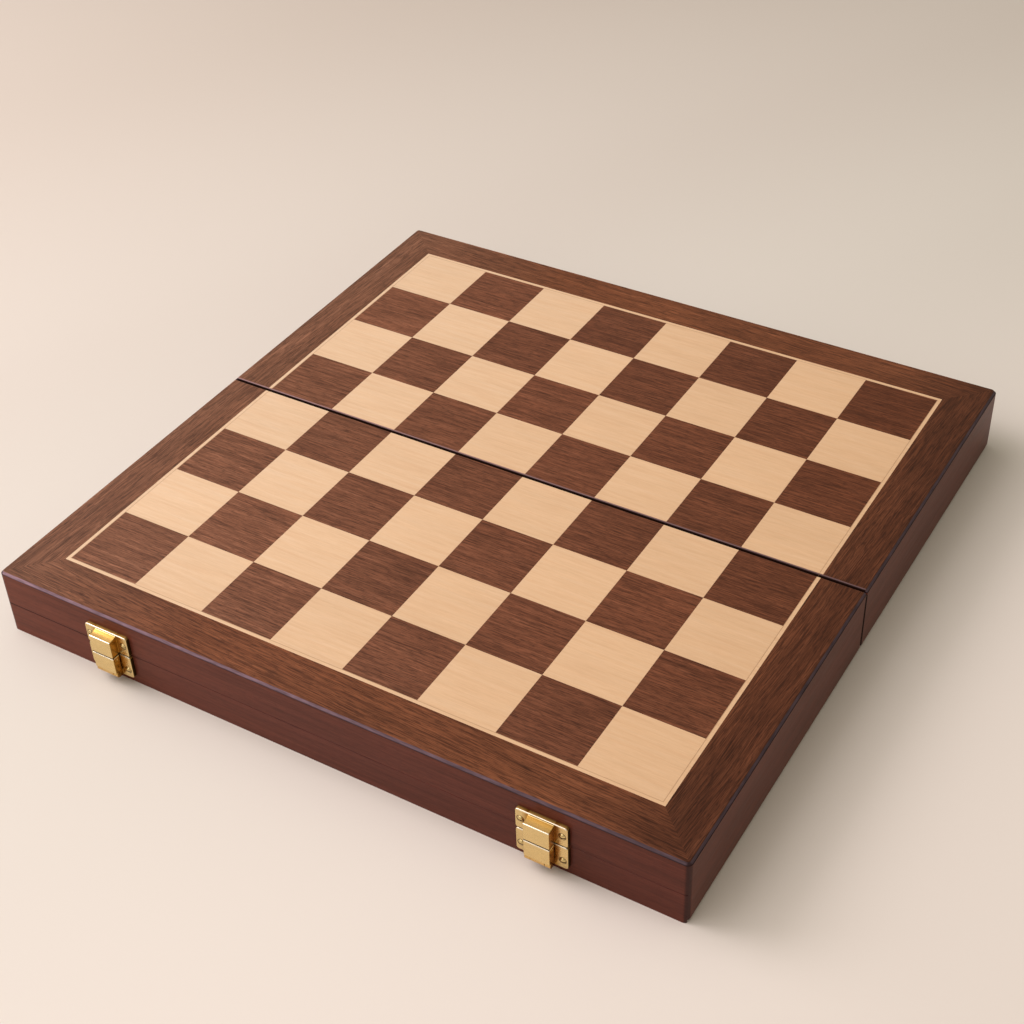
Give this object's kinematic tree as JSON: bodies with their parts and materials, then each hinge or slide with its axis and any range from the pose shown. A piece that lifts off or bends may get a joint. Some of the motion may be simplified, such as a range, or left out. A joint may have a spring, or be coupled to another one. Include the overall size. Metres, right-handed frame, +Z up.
{
  "type": "folding chess board",
  "caption": "Wooden chess board case that folds in half on flush brass hinges, with inlaid squares, two storage wells underneath and brass latches.",
  "frame": {"origin": "middle of the fold, on the plane that the walls stand on, with the board open and flat", "axes": "+X along the fold to the right, +Y to the rear half, away from the latches, +Z up"},
  "size_m": [0.3, 0.3108, 0.03],
  "materials": {
    "walnut": "open-grained walnut veneer, satin lacquer",
    "maple": "pale maple veneer, satin lacquer",
    "mahogany": "solid rails stained red-brown, semi-gloss lacquer",
    "plywood": "raw birch plywood",
    "felt": "flocked felt",
    "brass": "polished and lacquered brass"
  },
  "bodies": {
    "front_case": {"front_wall_upper_rail": "mahogany", "front_wall_lower_rail": "mahogany", "front_left_wall": "mahogany", "front_right_wall": "mahogany", "front_centre_rail": "mahogany", "front_panel_core": "plywood", "front_border_long": "walnut", "front_border_left": "walnut", "front_border_right": "walnut", "front_stringing": "maple", "front_walnut_squares": "walnut", "front_maple_squares": "maple", "front_well_lining": "felt", "front_left_hinge_leaf": "brass", "front_right_hinge_leaf": "brass", "front_hinge_pins": "brass", "front_hinge_screws": "brass", "left_latch_keeper": "brass", "left_hasp_plate": "brass", "left_hasp_pin": "brass", "right_latch_keeper": "brass", "right_hasp_plate": "brass", "right_hasp_pin": "brass", "latch_screws": "brass"},
    "hinge_links": {"left_hinge_link": "brass", "right_hinge_link": "brass"},
    "rear_case": {"rear_wall_upper_rail": "mahogany", "rear_wall_lower_rail": "mahogany", "rear_left_wall": "mahogany", "rear_right_wall": "mahogany", "rear_centre_rail": "mahogany", "rear_panel_core": "plywood", "rear_border_long": "walnut", "rear_border_left": "walnut", "rear_border_right": "walnut", "rear_stringing": "maple", "rear_walnut_squares": "walnut", "rear_maple_squares": "maple", "rear_well_lining": "felt", "rear_left_hinge_leaf": "brass", "rear_right_hinge_leaf": "brass", "rear_hinge_pins": "brass", "rear_hinge_screws": "brass", "left_strike_plate": "brass", "right_strike_plate": "brass", "strike_screws": "brass"},
    "left_flap": {"left_hasp": "brass"},
    "right_flap": {"right_hasp": "brass"}
  },
  "joints": [
    {"name": "fold_front_pin", "type": "hinge", "parent": "front_case", "child": "hinge_links", "pos_m": [0, -0.0019, 0.0018], "axis": [-1, 0, 0], "range_deg": [0, 90]},
    {"name": "fold_rear_pin", "type": "hinge", "parent": "hinge_links", "child": "rear_case", "pos_m": [0, 0.0019, 0.0018], "axis": [-1, 0, 0], "range_deg": [0, 90]},
    {"name": "left_flap_turn", "type": "hinge", "parent": "front_case", "child": "left_flap", "pos_m": [-0.0955, -0.15365, 0.00505], "axis": [1, 0, 0], "range_deg": [0, 180]},
    {"name": "right_flap_turn", "type": "hinge", "parent": "front_case", "child": "right_flap", "pos_m": [0.0955, -0.15365, 0.00505], "axis": [1, 0, 0], "range_deg": [0, 180]}
  ],
  "couplings": [
    {"joint": "fold_front_pin", "follows": "fold_rear_pin", "ratio": 1}
  ]
}
